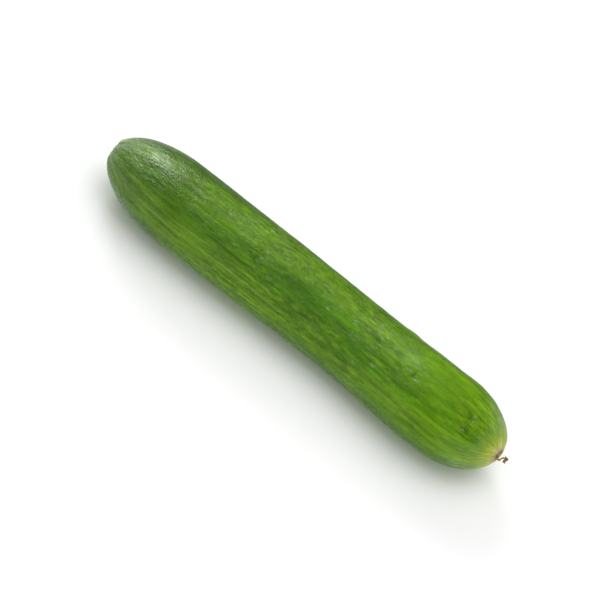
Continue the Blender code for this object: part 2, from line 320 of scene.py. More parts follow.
# Marks of the skin: distance along, angle, half length and half width
# Pale marks are partly pale scars and partly painted glints, small highlights painted into the colour
PALE_SCARS_AND_GLINTS = (
    (56.3, 21, 0.45, 0.40),
    (57.9, 70, 0.90, 0.35),
    (60.5, 350, 0.70, 0.60),
    (63.8, 20, 0.50, 0.45),
    (63.3, 31, 0.80, 0.40),
    (65.6, 346, 1.00, 0.45),
    (90.5, 29, 0.70, 0.35),
    (100.2, 21, 0.70, 0.60),
    (107.7, 0, 0.50, 1.00),
    (107.7, 64, 0.50, 0.45),
    (113.3, 50, 1.00, 0.50),
    (124.6, 24, 0.45, 0.45),
    (127.0, 26, 0.50, 0.45),
    (149.6, 18, 0.45, 0.50),
    (149.9, 25, 0.45, 0.40),
    (149.0, 43, 0.45, 0.45),
)
DARK_MARKS = (
    (4.7, 10, 0.35, 1.60),
    (63.6, 25, 0.60, 0.70),
    (69.1, 41, 0.90, 0.50),
    (85.0, 9, 0.80, 0.45),
    (87.0, 10, 0.90, 0.40),
    (103.8, 62, 0.60, 0.45),
    (125.8, 25, 0.60, 0.80),
    (126.3, 41, 0.55, 0.50),
    (135.3, 82, 0.60, 0.55),
    (148.4, 23, 1.30, 1.10),
    (149.9, 40, 1.10, 0.95),
)
CORKY_MARKS = (
    (68.9, 45, 0.50, 0.35),
    (70.2, 45, 0.60, 0.40),
    (85.5, 5, 0.50, 0.35),
    (87.8, 6, 0.60, 0.40),
    (119.9, 50, 0.50, 0.40),
)


def marked(marks):
    """How strongly each point of the skin is marked, from 0 to 1."""
    share = np.zeros(len(place_on_fruit))
    for at_x, at_angle, half_length, half_width in marks:
        ahead = (place_on_fruit[:, 0] - at_x) / half_length
        across = place_on_fruit[:, 1] * np.radians(apart(place_on_fruit[:, 2], at_angle)) / half_width
        share = np.maximum(share, bell(ahead) * bell(across))
    return share


keep(fruit, "marks", np.stack((marked(PALE_SCARS_AND_GLINTS), marked(DARK_MARKS), marked(CORKY_MARKS)), -1))


def colour(code):
    """An sRGB hex colour as linear values."""
    values = []
    for start in (0, 2, 4):
        v = int(code[start : start + 2], 16) / 255.0
        values.append(v / 12.92 if v <= 0.04045 else ((v + 0.055) / 1.055) ** 2.4)
    return (*values, 1.0)


def add_node(tree, kind, settings, inputs):
    """Adds a node, sets its settings, sets or links its inputs, and gives back its outputs."""
    node = tree.nodes.new("ShaderNode" + kind)
    for name, value in settings.items():
        setattr(node, name, value)
    for name, value in inputs.items():
        if isinstance(value, bpy.types.NodeSocket):
            tree.links.new(value, node.inputs[name])
        else:
            node.inputs[name].default_value = value
    return node.outputs


def new_material(name):
    """An empty material and its node tree."""
    made = bpy.data.materials.new(name)
    made.use_nodes = True
    made.node_tree.nodes.clear()
    return made, made.node_tree


# Settings that many nodes share: a smooth step, a product, a sum and a blend of two colours.
# A step reads input 0 between 1 and 2, and gives a value between 3 and 4, or 0 and 1. A blend
# lays colour 7 over colour 6, by the share in 0.
STEP = {"interpolation_type": "SMOOTHSTEP"}
TIMES = {"operation": "MULTIPLY"}
PLUS = {"operation": "ADD"}
BLEND = {"data_type": "RGBA", "clamp_factor": True}

# Waxy skin: green pigment under a thin dull wax, which spreads the gloss softly. It is dark
# towards the stalk and yellower towards the flower. Lanes, streaks, folds and pale ribs run
# lengthwise with the veins, and yellow rays, a cream ring and cork close it round the flower.
# Some light is painted into the colour: glints in the bloom and the pale marks, shade in the
# folds, and livelier mottling on the lit top.
waxy_skin, skin = new_material("waxy_cucumber_skin")
skin_at = add_node(skin, "Attribute", {"attribute_name": "skin"}, {})["Vector"]
place_at = add_node(skin, "Attribute", {"attribute_name": "place"}, {})["Vector"]
mark_at = add_node(skin, "Attribute", {"attribute_name": "marks"}, {})["Vector"]
_, upwards, frontwards = add_node(skin, "SeparateXYZ", {}, {0: skin_at})
along, radius, _ = add_node(skin, "SeparateXYZ", {}, {0: place_at})
pale_scar_and_glint_mark, dark_mark, corky_mark = add_node(skin, "SeparateXYZ", {}, {0: mark_at})

# Patterns: length and width of a patch in millimetres, detail and roughness
SKIN_PATTERNS = {
    # Lanes, bands, clouds and ribs follow the bundles of veins, which are 3 to 9 mm apart
    "lanes": (40.0, 8.0, 2.0, 0.5),
    "bands": (70.0, 6.0, 2.0, 0.5),
    "shades": (50.0, 4.0, 3.0, 0.5),
    "clouds": (14.0, 3.6, 2.0, 0.5),
    "busy": (20.0, 8.0, 2.0, 0.5),
    "rib_sway": (30.0, 9.0, 2.0, 0.5),
    "rib_gaps": (9.0, 3.0, 2.0, 0.5),
    # Folds are 1 to 2 mm apart, and the veins under the skin draw streaks 1 mm apart
    "folds": (7.5, 1.4, 4.0, 0.56),
    "wrinkles": (3.4, 1.4, 3.0, 0.6),
    "streaks": (12.0, 0.8, 5.0, 0.68),
    "dashes": (7.0, 0.9, 2.0, 0.5),
    "rays": (9.0, 0.8, 2.0, 0.5),
    # Groups of cells are 0.3 mm wide, drawn four times as coarse so that they show
    "flecks": (3.4, 1.3, 5.0, 0.68),
    # Grains of wax and pimples are 0.1 to 0.3 mm wide, drawn at twice that or more to show
    # The bloom grains also carry painted glints of the gloss
    "bloom_and_glints": (0.8, 0.5, 3.0, 0.62),
    "pimples": (0.75, 0.60, 3.0, 0.65),
    "crumbs": (0.55, 0.40, 1.0, 0.5),
    # Areas with more or less wax and roughness
    "dusty": (12.0, 6.0, 2.0, 0.5),
    "goosey": (9.0, 5.0, 3.0, 0.6),
    "dull": (1.8, 1.2, 3.0, 0.6),
}
pattern = {}
for name, (patch_length, patch_width, detail, roughness) in SKIN_PATTERNS.items():
    scale = (1.0 / patch_length, 1.0 / patch_width, 1.0 / patch_width)
    spread = add_node(skin, "Mapping", {}, {"Vector": skin_at, "Scale": scale})[0]
    noise = {"Vector": spread, "Scale": 1.0, "Detail": detail, "Roughness": roughness}
    pattern[name] = add_node(skin, "TexNoise", {}, noise)["Fac"]

# Both ends, and the light and dark lanes, of which there are five each round the fruit
LANES_ROUND = 5.0
near_stalk = add_node(skin, "MapRange", STEP, {0: along, 1: 66.0, 2: 22.0})[0]
near_flower = add_node(skin, "MapRange", STEP, {0: along, 1: 95.0, 2: 160.0})[0]
turned = add_node(skin, "Math", {"operation": "ARCTAN2"}, {0: frontwards, 1: upwards})[0]
sway = add_node(skin, "MapRange", STEP, {0: pattern["lanes"], 1: 0.3, 2: 0.7, 3: -1.0, 4: 0.6})[0]
swayed = add_node(skin, "Math", {"operation": "MULTIPLY_ADD"}, {0: turned, 1: LANES_ROUND, 2: sway})[0]
lanes = add_node(skin, "Math", {"operation": "COSINE"}, {0: swayed})[0]
light_lanes = add_node(skin, "MapRange", STEP, {0: lanes, 1: -0.1, 2: 0.8, 4: 0.34})[0]
dark_lanes = add_node(skin, "MapRange", STEP, {0: lanes, 1: 0.1, 2: -0.8, 4: 0.38})[0]
bands = add_node(skin, "MapRange", STEP, {0: pattern["bands"], 1: 0.38, 2: 0.64, 4: 0.38})[0]
shades = add_node(skin, "MapRange", STEP, {0: pattern["shades"], 1: 0.48, 2: 0.68, 4: 0.40})[0]
clouds = add_node(skin, "MapRange", STEP, {0: pattern["clouds"], 1: 0.34, 2: 0.66, 3: 0.88, 4: 1.14})[0]

# Mottled cells, calmer towards both ends. Away from the front they are livelier: this extra contrast on
# the lit top is painted light, standing in for glints and lit relief
calm_flower = add_node(skin, "MapRange", STEP, {0: along, 1: 108.0, 2: 128.0, 3: 1.0, 4: 0.62})[0]
calm_stalk = add_node(skin, "MapRange", STEP, {0: along, 1: 55.0, 2: 30.0, 3: 1.0, 4: 0.6})[0]
calm = add_node(skin, "Math", TIMES, {0: calm_flower, 1: calm_stalk})[0]
liveliness_on_lit_top = add_node(skin, "MapRange", STEP, {0: frontwards, 1: 8.0, 2: -1.0, 3: 1.0, 4: 1.35})[0]
busy = add_node(skin, "MapRange", STEP, {0: pattern["busy"], 1: 0.40, 2: 0.60, 3: 0.08, 4: 0.38})[0]
busy = add_node(skin, "Math", TIMES, {0: busy, 1: liveliness_on_lit_top})[0]
busy = add_node(skin, "Math", TIMES, {0: busy, 1: calm})[0]
flecks = add_node(skin, "MapRange", STEP, {0: pattern["flecks"], 1: 0.40, 2: 0.66})[0]
mottling = add_node(skin, "Mix", BLEND, {0: flecks, 6: colour("2c5608"), 7: colour("84aa14")})[2]

# Folds, where their pattern passes its middle value, darkened with painted shade in the creases, and
# streaks, strongest on the front
off_fold = add_node(skin, "Math", {"operation": "SUBTRACT"}, {0: pattern["folds"], 1: 0.5})[0]
off_fold = add_node(skin, "Math", {"operation": "ABSOLUTE"}, {0: off_fold})[0]
fold = add_node(skin, "MapRange", STEP, {0: off_fold, 1: 0.04, 2: 0.0})[0]
fold = add_node(skin, "Math", TIMES, {0: fold, 1: calm})[0]
painted_fold_shade = add_node(skin, "Math", TIMES, {0: fold, 1: 0.40})[0]
streaks = add_node(skin, "MapRange", STEP, {0: pattern["streaks"], 1: 0.36, 2: 0.66, 3: 0.76, 4: 1.26})[0]
streaked = add_node(skin, "MapRange", STEP, {0: frontwards, 1: 2.0, 2: 12.0, 3: 0.8, 4: 1.0})[0]
streaked = add_node(skin, "Math", TIMES, {0: streaked, 1: calm})[0]

# Base green, then each layer in order: how it is laid on, its share and its colour
skin_layers = [
    ("MIX", near_stalk, colour("325808")),
    ("MIX", near_flower, colour("609400")),
    ("MIX", light_lanes, colour("749e06")),
    ("MIX", dark_lanes, colour("3a6a08")),
    ("MIX", bands, colour("729c04")),
    ("MIX", shades, colour("38660c")),
    ("MIX", busy, mottling),
    ("MULTIPLY", 1.0, clouds),
    # Painted shade in the folds
    ("MIX", painted_fold_shade, colour("264e08")),
    ("MULTIPLY", streaked, streaks),
]

# Fine pale ribs over bundles of veins on the stem half: turn from the top in radians, and share
PALE_RIBS = ((1.03, 0.32), (1.24, 0.36), (1.52, 0.26), (2.3, 0.3), (-2.7, 0.24), (-1.4, 0.3))
rib_start = add_node(skin, "MapRange", STEP, {0: along, 1: 9.0, 2: 24.0})[0]
rib_end = add_node(skin, "MapRange", STEP, {0: along, 1: 105.0, 2: 66.0})[0]
rib_gaps = add_node(skin, "MapRange", STEP, {0: pattern["rib_gaps"], 1: 0.35, 2: 0.6, 3: 0.35})[0]
rib_reach = add_node(skin, "Math", TIMES, {0: rib_start, 1: rib_end})[0]
rib_reach = add_node(skin, "Math", TIMES, {0: rib_reach, 1: rib_gaps})[0]
rib_sway = add_node(skin, "MapRange", STEP, {0: pattern["rib_sway"], 1: 0.3, 2: 0.7, 3: -0.07, 4: 0.07})[0]
rib_turned = add_node(skin, "Math", PLUS, {0: turned, 1: rib_sway})[0]
for rib_turn, rib_share in PALE_RIBS:
    off_rib = add_node(skin, "Math", {"operation": "SUBTRACT"}, {0: rib_turned, 1: rib_turn})[0]
    off_rib = add_node(skin, "Math", {"operation": "ABSOLUTE"}, {0: off_rib})[0]
    rib = add_node(skin, "MapRange", STEP, {0: off_rib, 1: 0.034, 2: 0.008, 4: rib_share})[0]
    rib = add_node(skin, "Math", TIMES, {0: rib, 1: rib_reach})[0]
    skin_layers.append(("MIX", rib, colour("88aa50")))

# Pale grains: partly wax bloom, partly painted glints and sheen, fewest on the front; and short light
# dashes near the flower
dusty = add_node(skin, "MapRange", STEP, {0: pattern["dusty"], 1: 0.44, 2: 0.62, 3: 0.25})[0]
glints_off_front = add_node(skin, "MapRange", STEP, {0: frontwards, 1: 10.0, 2: 3.0, 3: 0.3, 4: 1.2})[0]
bloom_and_glints = add_node(skin, "MapRange", STEP, {0: pattern["bloom_and_glints"], 1: 0.57, 2: 0.70, 4: 0.26})[0]
bloom_and_glints = add_node(skin, "Math", TIMES, {0: bloom_and_glints, 1: glints_off_front})[0]
bloom_and_glints = add_node(skin, "Math", TIMES, {0: bloom_and_glints, 1: dusty})[0]
dash_reach = add_node(skin, "MapRange", STEP, {0: along, 1: 136.0, 2: 156.0, 3: 0.06, 4: 0.5})[0]
dashes = add_node(skin, "MapRange", STEP, {0: pattern["dashes"], 1: 0.52, 2: 0.66})[0]
dashes = add_node(skin, "Math", TIMES, {0: dashes, 1: dash_reach})[0]

# Round the flower: a yellow tint, rays, a cream ring, and cork with a brown pit in it
at_flower = add_node(skin, "MapRange", STEP, {0: along, 1: 120.0, 2: 150.0})[0]
ray_shift = add_node(skin, "MapRange", STEP, {0: pattern["rays"], 1: 0.3, 2: 0.7, 3: 2.3, 4: -2.3})[0]
ray_edge = add_node(skin, "Math", PLUS, {0: radius, 1: ray_shift})[0]
ragged_shift = add_node(skin, "MapRange", STEP, {0: pattern["rays"], 1: 0.3, 2: 0.7, 3: 0.8, 4: -0.8})[0]
ragged_edge = add_node(skin, "Math", PLUS, {0: radius, 1: ragged_shift})[0]
tint = add_node(skin, "MapRange", STEP, {0: radius, 1: 12.5, 2: 5.5, 4: 0.6})[0]
tint = add_node(skin, "Math", TIMES, {0: tint, 1: at_flower})[0]
yellow = add_node(skin, "MapRange", STEP, {0: ray_edge, 1: 7.8, 2: 3.2, 4: 0.80})[0]
yellow = add_node(skin, "Math", TIMES, {0: yellow, 1: at_flower})[0]
cream = add_node(skin, "MapRange", STEP, {0: ray_edge, 1: 4.6, 2: 2.6, 4: 0.8})[0]
cream = add_node(skin, "Math", TIMES, {0: cream, 1: at_flower})[0]
cork = add_node(skin, "MapRange", STEP, {0: ragged_edge, 1: 3.3, 2: 2.5})[0]
cork = add_node(skin, "Math", TIMES, {0: cork, 1: at_flower})[0]
cork_fibres = add_node(skin, "MapRange", STEP, {0: pattern["rays"], 1: 0.35, 2: 0.62})[0]
corky = add_node(skin, "Mix", BLEND, {0: cork_fibres, 6: colour("b0906c"), 7: colour("d0bc98")})[2]
pit = add_node(skin, "MapRange", STEP, {0: radius, 1: 1.25, 2: 0.85})[0]
corky = add_node(skin, "Mix", BLEND, {0: pit, 6: corky, 7: colour("7c6240")})[2]

# The pale scar round the stalk, and the marks, each broken into crumbs. The pale marks are partly scars
# and partly painted glints
at_stalk = add_node(skin, "MapRange", STEP, {0: along, 1: 20.0, 2: 12.0})[0]
scar = add_node(skin, "MapRange", STEP, {0: ragged_edge, 1: 4.8, 2: 3.2, 4: 0.85})[0]
scar = add_node(skin, "Math", TIMES, {0: scar, 1: at_stalk})[0]
crumbs = pattern["crumbs"]
scar_and_glint_crumbs = add_node(skin, "MapRange", STEP, {0: crumbs, 1: 0.47, 2: 0.55, 4: 0.60})[0]
scar_and_glint_crumbs = add_node(skin, "Math", TIMES, {0: scar_and_glint_crumbs, 1: pale_scar_and_glint_mark})[0]
dark_crumbs = add_node(skin, "MapRange", STEP, {0: crumbs, 1: 0.56, 2: 0.46, 3: 0.225, 4: 0.75})[0]
dark_crumbs = add_node(skin, "Math", TIMES, {0: dark_crumbs, 1: dark_mark})[0]
corky_crumbs = add_node(skin, "MapRange", STEP, {0: crumbs, 1: 0.45, 2: 0.53, 4: 0.70})[0]
corky_crumbs = add_node(skin, "Math", TIMES, {0: corky_crumbs, 1: corky_mark})[0]
skin_layers += [
    # Pale grey-green grains: wax bloom with painted glints
    ("MIX", bloom_and_glints, colour("a9b98c")),
    ("MIX", dashes, colour("94b420")),
    ("MIX", tint, colour("92b200")),
    ("MIX", yellow, colour("c2c832")),
    ("MIX", cream, colour("d2d08a")),
    ("MIX", cork, corky),
    ("MIX", scar, colour("9aab62")),
    # Pale marks: scars and painted glints
    ("MIX", scar_and_glint_crumbs, colour("b4c79a")),
    ("MIX", dark_crumbs, colour("284c0c")),
    ("MIX", corky_crumbs, colour("b09a6a")),
]
green = colour("4f8200")
for laid_on, share, over in skin_layers:
    settings = {**BLEND, "blend_type": laid_on}
    green = add_node(skin, "Mix", settings, {0: share, 6: green, 7: over})[2]

# Gloss dulled by the wax, a little less near the flower, and quite matt cork
CORK_ROUGHNESS = 0.85
dull = add_node(skin, "MapRange", STEP, {0: pattern["dull"], 1: 0.35, 2: 0.65, 3: 0.24, 4: 0.37})[0]
polish = add_node(skin, "MapRange", STEP, {0: along, 1: 118.0, 2: 140.0, 3: 1.0, 4: 0.72})[0]
dull = add_node(skin, "Math", TIMES, {0: dull, 1: polish})[0]
matt_cork = add_node(skin, "Math", TIMES, {0: cork, 1: CORK_ROUGHNESS})[0]
dull = add_node(skin, "Math", {"operation": "MAXIMUM"}, {0: dull, 1: matt_cork})[0]

# Pimples where the skin is goosey, wrinkles, and folds sunk between them
RELIEF_HEIGHT = 0.12 * MM
goosey = add_node(skin, "MapRange", STEP, {0: pattern["goosey"], 1: 0.47, 2: 0.64, 3: 0.6, 4: 2.2})[0]
pimples = add_node(skin, "Math", TIMES, {0: pattern["pimples"], 1: goosey})[0]
raised = {"operation": "MULTIPLY_ADD"}
wrinkled = add_node(skin, "Math", raised, {0: pattern["wrinkles"], 1: 2.4, 2: pimples})[0]
folded = add_node(skin, "Math", raised, {0: fold, 1: -0.5, 2: wrinkled})[0]
relief = {"Height": folded, "Strength": 1.0, "Distance": RELIEF_HEIGHT}
relief = add_node(skin, "Bump", {}, relief)[0]
surface = {"Base Color": green, "Roughness": dull, "IOR": 1.40, "Normal": relief}
surface = add_node(skin, "BsdfPrincipled", {}, surface)[0]
add_node(skin, "OutputMaterial", {}, {"Surface": surface})
fruit.data.materials.append(waxy_skin)
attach(fruit, "root")
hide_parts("fruit")


# The stub of the stalk: pale fibrous plant tissue, cut or snapped across. It sits in the
# fruit's hollow, with five soft corners and a bundle of veins in each.
STUB_RADIUS = 2.35
STUB_ROOT = STEM_WELL["depth"] - 0.3
STUB_SIDES = 180
stub_length = STUB_ROOT - STUB_END

# Side outline of the stub: place along, and share of its radius
stub_rows = np.array(
    (
        (STUB_END + 0.40, 0.05),
        (STUB_END + 0.36, 0.18),
        (STUB_END + 0.30, 0.32),
        (STUB_END + 0.20, 0.48),
        (STUB_END + 0.14, 0.62),
        (STUB_END + 0.07, 0.76),
        (STUB_END + 0.02, 0.86),
        (STUB_END, 0.93),
        (STUB_END + 0.03, 0.99),
        (STUB_END + 0.10 * stub_length, 1.03),
        (STUB_END + 0.18 * stub_length, 1.00),
        (STUB_END + 0.30 * stub_length, 0.95),
        (STUB_END + 0.50 * stub_length, 0.90),
        (STUB_END + 0.70 * stub_length, 0.94),
        (STUB_END + 0.88 * stub_length, 1.00),
        (STUB_ROOT, 0.92),
        (STUB_ROOT, 0.55),
    )
)
stub_x = stub_rows[:, :1]
stub_share = stub_rows[:, 1:]
stub_angle = np.arange(STUB_SIDES)[None, :] * 2.0 * np.pi / STUB_SIDES
stub_r = STUB_RADIUS * stub_share * (1.0 + 0.05 * np.cos(5.0 * stub_angle))
stub_place = np.stack(
    np.broadcast_arrays(stub_x * 2.0, stub_r * np.cos(stub_angle), stub_r * np.sin(stub_angle)), -1
)
torn = 0.10 * grain(stub_place * 3.0 + 9.0, 11) + 0.06 * grain(stub_place * 7.0 + 5.0, 12)
on_cut = ease((0.98 - stub_share) / 0.1) * (stub_x < STUB_END + 0.5)
stub_r = stub_r * (1.0 + 0.15 * torn * (1.0 - on_cut))
stub_at_x = stub_x + np.abs(torn) * on_cut
stub_points = np.stack(
    (
        stub_at_x,
        bend(stub_at_x) - stub_r * np.sin(stub_angle),
        middle_height(stub_at_x) + stub_r * np.cos(stub_angle),
    ),
    axis=-1,
).reshape(-1, 3)
stub_ends = np.array((STUB_END + 0.42, STUB_ROOT))
stub_poles = np.stack((stub_ends, bend(stub_ends), middle_height(stub_ends)), -1)
stub_points = np.concatenate((stub_points, stub_poles))
stub = piece_from("stub_of_the_stalk", stub_points, tube_faces(len(stub_rows), STUB_SIDES))
stub_across = np.concatenate((stub_place.reshape(-1, 3), ((2.0, 0.0, 0.0), (4.0, 0.0, 0.0))))
keep(stub, "place", stub_across)

# Cut stalk: pale and matt, greener towards its skin, dotted where the veins were cut. The
# cells are 0.1 mm wide, drawn two to three times as coarse so that they show.
CELL_PATCH = (0.30, 0.22, 0.22)
cut_stalk, stalk = new_material("pale_cut_stalk")
fibre_at = add_node(stalk, "Attribute", {"attribute_name": "place"}, {})["Vector"]
_, fibre_y, fibre_z = add_node(stalk, "SeparateXYZ", {}, {0: fibre_at})
fibre_across = add_node(stalk, "CombineXYZ", {}, {1: fibre_y, 2: fibre_z})[0]
from_middle = add_node(stalk, "VectorMath", {"operation": "LENGTH"}, {0: fibre_across})["Value"]
scale = tuple(1.0 / length for length in CELL_PATCH)
spread = add_node(stalk, "Mapping", {}, {"Vector": fibre_at, "Scale": scale})[0]
noise = {"Vector": spread, "Scale": 1.0, "Detail": 3.0, "Roughness": 0.6}
speckle = add_node(stalk, "TexNoise", {}, noise)["Fac"]
pale_cells = add_node(stalk, "MapRange", STEP, {0: speckle, 1: 0.35, 2: 0.65})[0]
vein_ring = add_node(stalk, "MapRange", STEP, {0: from_middle, 1: 1.0, 2: 1.5, 4: 0.6})[0]
vein_dots = add_node(stalk, "MapRange", STEP, {0: speckle, 1: 0.6, 2: 0.45})[0]
veins = add_node(stalk, "Math", TIMES, {0: vein_ring, 1: vein_dots})[0]
green_rim = add_node(stalk, "MapRange", STEP, {0: from_middle, 1: 1.9, 2: 2.3})[0]
pith = colour("a8ad76")
for share, code in ((pale_cells, "cfcfa0"), (veins, "7d8a45"), (green_rim, "7f8c4a")):
    pith = add_node(stalk, "Mix", BLEND, {0: share, 6: pith, 7: colour(code)})[2]
relief = {"Height": speckle, "Strength": 1.0, "Distance": 0.08 * MM}
relief = add_node(stalk, "Bump", {}, relief)[0]
surface = {"Base Color": pith, "Roughness": 0.75, "IOR": 1.4, "Normal": relief}
surface = add_node(stalk, "BsdfPrincipled", {}, surface)[0]
add_node(stalk, "OutputMaterial", {}, {"Surface": surface})
stub.data.materials.append(cut_stalk)
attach(stub, "root")
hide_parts("stalk_stub")


# The dried flower: the shrivelled style, still rooted in the pit of the cone, curls over its
# rim and holds a torn brown flake of the stigma. Thin, brittle, papery plant tissue.

# Middle line of the style: beyond the tip, down, out of the side the tip faces, and radius
STYLE_ROUTE = np.array(
    (
        (-1.10, 0.15, 0.00, 0.66),
        (-0.78, 0.38, 0.12, 0.56),
        (-0.35, 0.85, 0.38, 0.40),
        (0.10, 1.25, 0.78, 0.31),
        (0.48, 1.32, 1.25, 0.28),
        (0.76, 0.98, 1.58, 0.27),
        (0.92, 0.45, 1.60, 0.26),
        (1.08, 0.00, 1.45, 0.25),
        (1.36, -0.24, 1.28, 0.25),
        (1.70, -0.22, 1.15, 0.26),
        (2.05, -0.08, 1.10, 0.26),
    )
)

# Outline of the flake: beyond the tip, and down
FLAKE_OUTLINE = np.array(
    (
        (1.40, -1.20),
        (1.90, -1.00),
        (2.72, -1.02),
        (2.86, -0.35),
        (2.68, 0.40),
        (2.84, 1.08),
        (2.36, 1.02),
        (1.86, 1.00),
        (1.70, 0.40),
        (1.78, -0.15),
        (1.62, -0.60),
    )
)
STYLE_STEPS = 200
STYLE_SIDES = 36
FLAKE_STEPS = 132
FLAKE_HALF = 0.20
FLAKE_CURL = 0.16
FLAKE_OUT = 1.1


def through(route, t):
    """Smooth curve through the route's points; t runs from 0 to the last point's number."""
    at = np.minimum(t.astype(int), len(route) - 2)
    part = (t - at)[:, None]
    a = route[np.maximum(at - 1, 0)]
    b = route[at]
    c = route[at + 1]
    d = route[np.minimum(at + 2, len(route) - 1)]
    curve = 2.0 * b + (c - a) * part + (2.0 * a - 5.0 * b + 4.0 * c - d) * part**2
    return 0.5 * (curve + (3.0 * b - a - 3.0 * c + d) * part**3)


def flower_place(places):
    """Places in the fruit's frame, from distances beyond the tip, down and out."""
    turn = math.radians(TIP_FACES)
    beyond, down, outwards = places[..., 0], places[..., 1], places[..., 2]
    y = bend(LENGTH) - down * math.cos(turn) - outwards * math.sin(turn)
    z = middle_height(LENGTH) - down * math.sin(turn) + outwards * math.cos(turn)
    return np.stack((LENGTH + beyond, y, z), axis=-1)


style_rows = through(STYLE_ROUTE, np.linspace(0.0, len(STYLE_ROUTE) - 1.0, STYLE_STEPS))
style_line = style_rows[:, :3]
forward = np.gradient(style_line, axis=0)
forward = forward / np.linalg.norm(forward, axis=1)[:, None]
side_way = np.zeros_like(forward)
last_side = np.array((0.0, 1.0, 0.0))
for step in range(STYLE_STEPS):
    last_up = np.cross(forward[step], last_side)
    last_up = last_up / np.linalg.norm(last_up)
    last_side = np.cross(last_up, forward[step])
    side_way[step] = last_side
up_way = np.cross(forward, side_way)
style_angle = np.arange(STYLE_SIDES)[None, :] * 2.0 * np.pi / STYLE_SIDES
style_along = np.linspace(0.0, 1.0, STYLE_STEPS)[:, None]
furrow = np.cos(4.0 * style_angle + 9.0 * style_along)
tube = np.stack(np.broadcast_arrays(style_along * 14.0, np.cos(style_angle), np.sin(style_angle)), -1)
shrivel = 0.16 * furrow + 0.16 * grain(tube * 1.3 + 3.0, 21) + 0.10 * grain(tube * 3.1 + 3.0, 22)
style_r = style_rows[:, 3:] * (0.94 + shrivel)
style_points = (
    style_line[:, None, :]
    + (style_r * np.cos(style_angle))[..., None] * side_way[:, None, :]
    + (style_r * np.sin(style_angle))[..., None] * up_way[:, None, :]
).reshape(-1, 3)
style_points = np.concatenate((style_points, style_line[[0, -1]]))
style = piece_from("dried_style", flower_place(style_points), tube_faces(STYLE_STEPS, STYLE_SIDES))
dryness = np.concatenate((np.broadcast_to(style_along, style_r.shape).ravel(), (0.0, 1.0)))
keep(style, "dry", np.stack((dryness, 0.0 * dryness, 0.0 * dryness), -1))

around = np.concatenate((FLAKE_OUTLINE[-1:], FLAKE_OUTLINE, FLAKE_OUTLINE[:2]))
edge = through(around, 1.0 + np.arange(FLAKE_STEPS) / FLAKE_STEPS * len(FLAKE_OUTLINE))
middle = FLAKE_OUTLINE.mean(axis=0)
jag = grain(np.stack((edge[:, 0] * 5.0, edge[:, 1] * 5.0, 0.0 * edge[:, 0]), -1) + 9.0, 31)
edge = middle + (edge - middle) * (1.0 + 0.10 * jag)[:, None]
flake_layers = [(share, -1.0) for share in np.linspace(0.08, 0.96, 10)]
flake_layers += [(1.0, -0.5), (1.01, 0.0), (1.0, 0.5)]
flake_layers += [(share, 1.0) for share in np.linspace(0.96, 0.08, 10)]
flake_points = []
for share, level in flake_layers:
    flat = middle + (edge - middle) * share
    crumple = grain(np.stack((flat[:, 0] * 2.6, flat[:, 1] * 2.6, 0.0 * flat[:, 0]), -1) + 5.0, 32)
    thickness = FLAKE_HALF * (1.0 - 0.55 * share)
    lift = FLAKE_CURL * (flat[:, 1] - middle[1]) ** 2 + 0.22 * crumple + level * thickness
    flake_points.append(np.stack((flat[:, 0], flat[:, 1], FLAKE_OUT + lift), -1))
flake_points = np.concatenate(flake_points)
flake_ends = np.array([flake_points[:FLAKE_STEPS].mean(axis=0), flake_points[-FLAKE_STEPS:].mean(axis=0)])
flake_points = np.concatenate((flake_points, flake_ends))
flake = piece_from("stigma_flake", flower_place(flake_points), tube_faces(len(flake_layers), FLAKE_STEPS))
keep(flake, "dry", np.stack((np.ones(len(flake_points)),) * 3, -1))

# Dried tissue: olive and a little glossy where it is still moist at the root, brown and matt
# at the flake, with darker veins. The fibres are 0.1 mm wide, drawn at twice that to show.
FIBRE_PATCH = (0.35, 0.25, 0.25)
dried_tissue, dried = new_material("dried_flower_tissue")
dry_at = add_node(dried, "Attribute", {"attribute_name": "dry"}, {})["Vector"]
dry = add_node(dried, "SeparateXYZ", {}, {0: dry_at})[0]
body_at = add_node(dried, "TexCoord", {}, {})["Object"]
scale = tuple(1.0 / (length * MM) for length in FIBRE_PATCH)
spread = add_node(dried, "Mapping", {}, {"Vector": body_at, "Scale": scale})[0]
noise = {"Vector": spread, "Scale": 1.0, "Detail": 3.0, "Roughness": 0.6}
fibres = add_node(dried, "TexNoise", {}, noise)["Fac"]
browned = add_node(dried, "MapRange", STEP, {0: dry, 1: 0.45, 2: 0.95})[0]
dark_fibres = add_node(dried, "MapRange", STEP, {0: fibres, 1: 0.42, 2: 0.62, 4: 0.65})[0]
pale_fibres = add_node(dried, "MapRange", STEP, {0: fibres, 1: 0.46, 2: 0.34, 4: 0.6})[0]
brown = colour("a8964e")
for share, code in ((browned, "9e704c"), (dark_fibres, "523820"), (pale_fibres, "b89a70")):
    brown = add_node(dried, "Mix", BLEND, {0: share, 6: brown, 7: colour(code)})[2]
dull = add_node(dried, "MapRange", STEP, {0: dry, 1: 0.3, 2: 0.9, 3: 0.55, 4: 0.8})[0]
relief = {"Height": fibres, "Strength": 1.0, "Distance": 0.06 * MM}
relief = add_node(dried, "Bump", {}, relief)[0]
surface = {"Base Color": brown, "Roughness": dull, "IOR": 1.45, "Normal": relief}
surface = add_node(dried, "BsdfPrincipled", {}, surface)[0]
add_node(dried, "OutputMaterial", {}, {"Surface": surface})
for piece in (style, flake):
    piece.data.materials.append(dried_tissue)
    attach(piece, "root")
    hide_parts("blossom_remnant")


